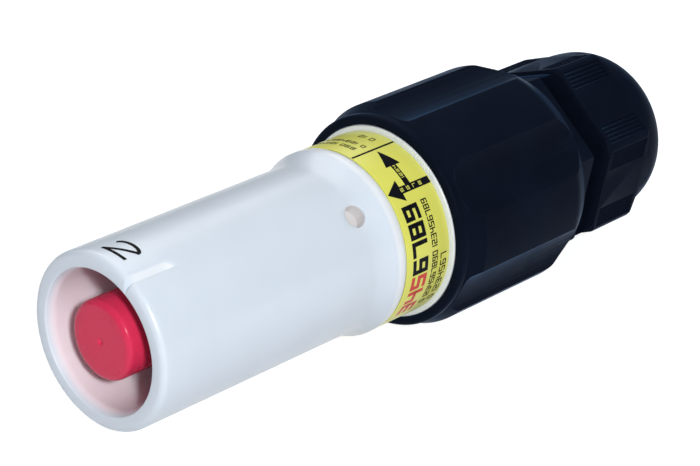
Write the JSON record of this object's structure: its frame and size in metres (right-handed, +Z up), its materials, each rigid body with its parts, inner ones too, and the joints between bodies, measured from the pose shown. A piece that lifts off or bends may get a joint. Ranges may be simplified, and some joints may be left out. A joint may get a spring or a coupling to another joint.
{
  "type": "single pole cam lock connector",
  "caption": "In-line single-pole power connector: white tubular nose round a red-tipped pin contact, labelled neck, black fluted back shell and ribbed dome-nut cable gland.",
  "frame": {"origin": "centre of the bottom of the box round the connector, which lies on two ribs of its back shell", "axes": "+X along the mating axis, from the mouth to the cable gland; +Z up"},
  "size_m": [0.2096, 0.0654, 0.0632],
  "materials": {
    "white_nylon": "moulded nylon, satin, cool white",
    "label_film": "printed yellow film, bare here",
    "red_nylon": "moulded nylon, red",
    "silver_plate": "silver-plated brass",
    "spring_steel": "bare steel",
    "black_nylon": "moulded nylon, blue-black, fine texture",
    "seal_rubber": "black rubber"
  },
  "bodies": {
    "root": {"front_shroud": "white_nylon", "label_band": "label_film", "finger_safe_cap": "red_nylon", "contact_pin": "silver_plate", "contact_o_ring": "seal_rubber", "contact_key": "spring_steel", "thrust_washer": "spring_steel", "retaining_ring": "spring_steel", "clamp_screw_front": "spring_steel", "clamp_screw_rear": "spring_steel", "contact_sleeve": "black_nylon", "shroud_o_ring": "seal_rubber", "grip_collar": "black_nylon", "gland_body": "black_nylon", "gland_o_ring": "seal_rubber", "gland_claw": "black_nylon", "gland_seal": "seal_rubber", "gland_reducer": "seal_rubber", "gland_nut": "black_nylon"}
  },
  "joints": []
}
